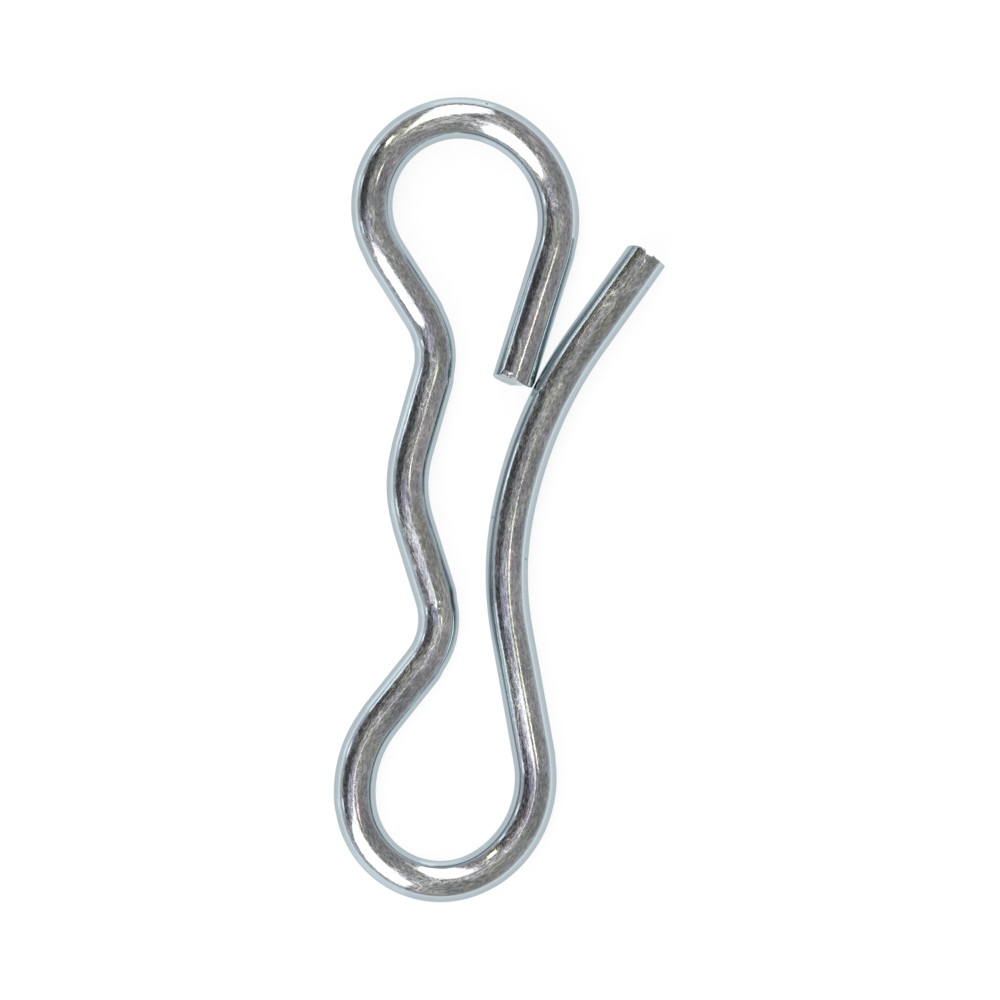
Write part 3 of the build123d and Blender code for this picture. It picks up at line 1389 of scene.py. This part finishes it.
@dataclass(frozen=True)
class Room:
    """The room round the table, seen only in the wire.

    A grey ceiling with a dark corner stands over pale walls to the left and right. Heights and
    places are those of a direction of length 1 from the pin.

    Attributes:
        ceiling: The ceiling's colour.
        corner: The dark corner's colour.
        low_wall: The walls' colour.
        corner_azimuth: Where the corner is, in degrees from +X.
        corner_from_zenith: How far it is from straight above, in degrees.
        corner_between: The cosines of the angle to it between which its dark sets in.
        wall_rise: How much higher the walls' top is at -X and +X than along Y.
        wall_fall: How much it falls towards +X.
        wall_foot: How far below the horizon it is along Y.
        edge: The softness of that top.
        edge_rise: How much softer it is towards +X.
    """

    ceiling: str = "b9b6b4"
    corner: str = "514e52"
    low_wall: str = "dde3e8"
    corner_azimuth: float = 164.0
    corner_from_zenith: float = 54.0
    corner_between: tuple[float, float] = (0.83, 0.93)
    wall_rise: float = 0.36
    wall_fall: float = 0.07
    wall_foot: float = 0.04
    edge: float = 0.13
    edge_rise: float = 0.10

    def in_corner(self, tree: bpy.types.NodeTree, direction: bpy.types.NodeSocket) -> bpy.types.NodeSocket:
        """How far a direction is in the dark corner, by the cosine of the angle to its middle.

        Args:
            tree: The world's nodes.
            direction: The direction.

        Returns:
            A share from 0 to 1.
        """
        middle = towards(self.corner_azimuth, self.corner_from_zenith)
        nearness = add_node(
            tree, "ShaderNodeVectorMath", {0: direction, 1: middle}, operation="DOT_PRODUCT"
        ).outputs["Value"]
        sets_in, is_full = self.corner_between
        return add_node(
            tree,
            "ShaderNodeMapRange",
            {"Value": nearness, "From Min": sets_in, "From Max": is_full},
            interpolation_type="SMOOTHSTEP",
        ).outputs["Result"]

    def on_wall(self, tree: bpy.types.NodeTree, direction: bpy.types.NodeSocket) -> bpy.types.NodeSocket:
        """How far a direction is on the walls.

        The walls' top is the rise times the size of x, less the fall times x, less the foot.
        A direction's depth below it is divided by the edge plus the edge's rise times x, and the
        share goes smoothly from 0 at a depth of -1 to 1 at a depth of 1.

        Args:
            tree: The world's nodes.
            direction: The direction.

        Returns:
            A share from 0 to 1.
        """
        parts = add_node(tree, "ShaderNodeSeparateXYZ", {"Vector": direction})
        x, z = parts.outputs["X"], parts.outputs["Z"]
        sideways = add_node(tree, "ShaderNodeMath", {0: x}, operation="ABSOLUTE").outputs["Value"]
        risen = add_node(
            tree,
            "ShaderNodeMath",
            {0: sideways, 1: self.wall_rise, 2: -self.wall_foot},
            operation="MULTIPLY_ADD",
        ).outputs["Value"]
        top = add_node(
            tree, "ShaderNodeMath", {0: x, 1: -self.wall_fall, 2: risen}, operation="MULTIPLY_ADD"
        ).outputs["Value"]
        depth = add_node(tree, "ShaderNodeMath", {0: top, 1: z}, operation="SUBTRACT").outputs["Value"]
        edge = add_node(
            tree, "ShaderNodeMath", {0: x, 1: self.edge_rise, 2: self.edge}, operation="MULTIPLY_ADD"
        ).outputs["Value"]
        depth_in_edges = add_node(
            tree, "ShaderNodeMath", {0: depth, 1: edge}, operation="DIVIDE"
        ).outputs["Value"]
        return add_node(
            tree,
            "ShaderNodeMapRange",
            {"Value": depth_in_edges, "From Min": -1.0, "From Max": 1.0},
            interpolation_type="SMOOTHSTEP",
        ).outputs["Result"]

    def build(self) -> bpy.types.World:
        """Makes the world from the direction that a ray leaves in.

        Returns:
            The world, set as the scene's.
        """
        world = bpy.data.worlds.new("studio_room")
        tree = empty_tree(world)
        direction = add_node(tree, "ShaderNodeTexCoord").outputs["Generated"]
        above = add_node(
            tree,
            "ShaderNodeMix",
            {0: self.in_corner(tree, direction), 6: linear(self.ceiling), 7: linear(self.corner)},
            data_type="RGBA",
        ).outputs[2]
        colour = add_node(
            tree,
            "ShaderNodeMix",
            {0: self.on_wall(tree, direction), 6: above, 7: linear(self.low_wall)},
            data_type="RGBA",
        ).outputs[2]
        background = add_node(tree, "ShaderNodeBackground", {"Color": colour, "Strength": 1.0})
        add_node(tree, "ShaderNodeOutputWorld", {"Surface": background.outputs["Background"]})
        bpy.context.scene.world = world
        return world


@dataclass(frozen=True)
class Floor:
    """The pale floor under the pin, white to the eye.

    Attributes:
        level: Its height, in metres.
        side: The length of its side, in metres.
        shine: How white it is by itself, to the eye and in reflections.
        lit_colour: The colour of the share that is lit instead, and keeps the pin's shadow.
        roughness: How far its polish is from a mirror's.
    """

    level: float
    side: float = 6.0
    shine: float = 0.85
    lit_colour: str = "6e6f70"
    roughness: float = 0.14

    def build(self) -> bpy.types.Object:
        """Makes the floor as one flat square.

        Returns:
            The floor.
        """
        half = self.side / 2
        corners = [(-half, -half), (half, -half), (half, half), (-half, half)]
        floor = add_panel("floor", [Vector((x, y, self.level)) for x, y in corners], self.material())
        return floor

    def material(self) -> bpy.types.Material:
        """Polished white acrylic sheet, part of whose white doesn't depend on the lamps.

        Returns:
            The material.
        """
        made = bpy.data.materials.new("polished_white_acrylic")
        tree = empty_tree(made)
        path = add_node(tree, "ShaderNodeLightPath")
        straight_or_mirrored = add_node(
            tree,
            "ShaderNodeMath",
            {0: path.outputs["Is Camera Ray"], 1: path.outputs["Is Glossy Ray"]},
            operation="MAXIMUM",
        ).outputs["Value"]
        seen = add_node(
            tree,
            "ShaderNodeMath",
            {0: straight_or_mirrored, 1: path.outputs["Is Transmission Ray"]},
            operation="MAXIMUM",
        ).outputs["Value"]
        strength = add_node(tree, "ShaderNodeMath", {0: seen, 1: self.shine}, operation="MULTIPLY")
        white = add_node(tree, "ShaderNodeEmission", {"Strength": strength.outputs["Value"]})
        sheet = add_node(
            tree,
            "ShaderNodeBsdfPrincipled",
            {"Base Color": linear(self.lit_colour), "Roughness": self.roughness},
        )
        both = add_node(
            tree, "ShaderNodeAddShader", {0: sheet.outputs["BSDF"], 1: white.outputs["Emission"]}
        )
        add_node(tree, "ShaderNodeOutputMaterial", {"Surface": both.outputs["Shader"]})
        return made


@dataclass(frozen=True)
class Camera:
    """A long lens straight above the pin, with +Y up in the picture.

    Attributes:
        aim_x: The picture's middle, in mm from the shaft's axis.
        aim_y: The same, along Y.
        view_width: How much of the floor the picture takes in, in mm.
        height: How far up the camera is, in mm.
    """

    aim_x: float = -1.347
    aim_y: float = -1.063
    view_width: float = 70.884
    height: float = 700.0

    def build(self) -> bpy.types.Object:
        """Makes the camera and sets it as the scene's.

        The lens is to the sensor's width as the height is to the width of the view.

        Returns:
            The camera.
        """
        data = bpy.data.cameras.new("camera")
        data.lens = data.sensor_width * self.height / self.view_width
        camera = add_object("camera", data)
        camera.location = (self.aim_x * MM, self.aim_y * MM, self.height * MM)
        bpy.context.scene.camera = camera
        return camera


@dataclass
class Studio:
    """The floor, the lamps, the room and the camera.

    Attributes:
        floor_level: The floor's height, in metres.
        softboxes: The softboxes.
        lamps: The small lamps.
    """

    floor_level: float
    softboxes: tuple[Softbox, ...] = (
        Softbox(
            "softbox_left",
            corners=(
                *((207, 2), (200, 28), (202, 45), (209, 60), (222, 69)),
                *((250, 70), (253, 35), (247, 21), (231, 2)),
            ),
            brightness=3.2,
            colour="fffefb",
        ),
        Softbox(
            "softbox_back",
            corners=(
                *((124, 13), (120, 30), (114, 44), (111, 56), (103, 77)),
                *((74, 77), (71, 54), (81, 34), (101, 13)),
            ),
            brightness=3.2,
            colour="fffdf8",
        ),
        Softbox(
            "softbox_left_edge",
            corners=((182, 0), (180, 38), (201, 40), (203, 0)),
            brightness=0.72,
            colour="e4e0ff",
        ),
        low_window("left", azimuths=(186, 193), from_zenith=(66, 76)),
        low_window("back", azimuths=(141, 147), from_zenith=(70, 79)),
        low_window("side", azimuths=(160, 167), from_zenith=(72, 80)),
    )
    lamps: tuple[Lamp, ...] = (
        Lamp("strip_lamp", azimuth=134, from_zenith=44, wide=4.2, high=18, brightness=5.5, colour="fff6d2"),
        Lamp("spot_lamp", azimuth=354, from_zenith=12, wide=2.2, high=6.5, brightness=5.0, colour="fff6dc"),
    )

    def build(self) -> None:
        """Sets up everything round the pin."""
        Floor(self.floor_level).build()
        for softbox in self.softboxes:
            softbox.build()
        for lamp in self.lamps:
            lamp.build()
        Room().build()
        Camera().build()
        bpy.context.scene.view_settings.view_transform = "Standard"


def main() -> None:
    """Builds the pin on its frame and the studio round it."""
    logging.basicConfig(level=logging.INFO, format="%(name)s: %(message)s")
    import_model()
    lowest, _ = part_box("wire_pin")

    wire = WirePin().build()
    log.info("%s: %d points, %d faces", wire.name, len(wire.data.vertices), len(wire.data.polygons))
    Studio(floor_level=lowest[2]).build()


if __name__ == "__main__":
    main()
